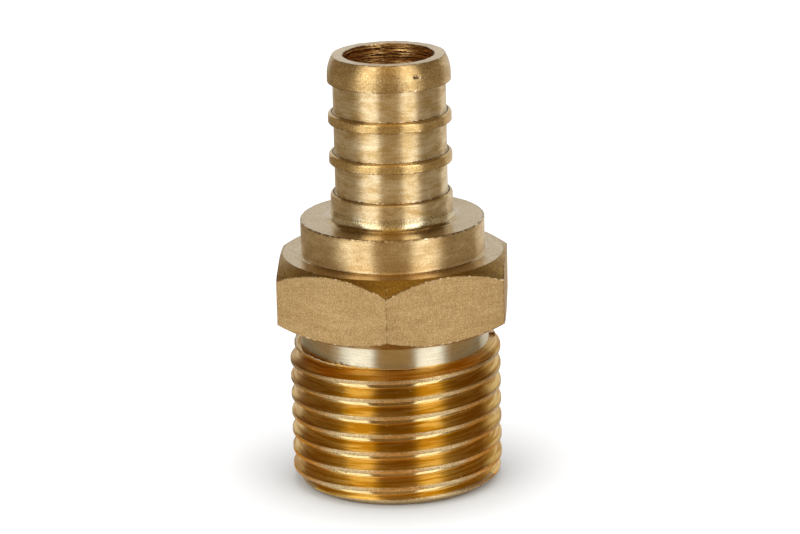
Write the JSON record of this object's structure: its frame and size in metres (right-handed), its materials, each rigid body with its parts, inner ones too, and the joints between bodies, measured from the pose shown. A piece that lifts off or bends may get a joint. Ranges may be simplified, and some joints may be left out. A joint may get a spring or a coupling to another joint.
{
  "type": "hose adapter",
  "caption": "Brass hose adapter with a ribbed barb, a round collar, a hexagon and a right-hand male pipe thread, bored right through.",
  "frame": {"origin": "centre of the end face of the threaded end, which the fitting stands on", "axes": "+Z along the fitting's axis from the threaded end to the hose end; the picture's camera looks along +Y, and a corner of the hexagon lies 3.5 degrees off -Y"},
  "size_m": [0.0228, 0.0254, 0.0429],
  "materials": {
    "brass": "turned, satin to semi-bright"
  },
  "bodies": {
    "root": {"adapter": "brass"}
  },
  "joints": []
}
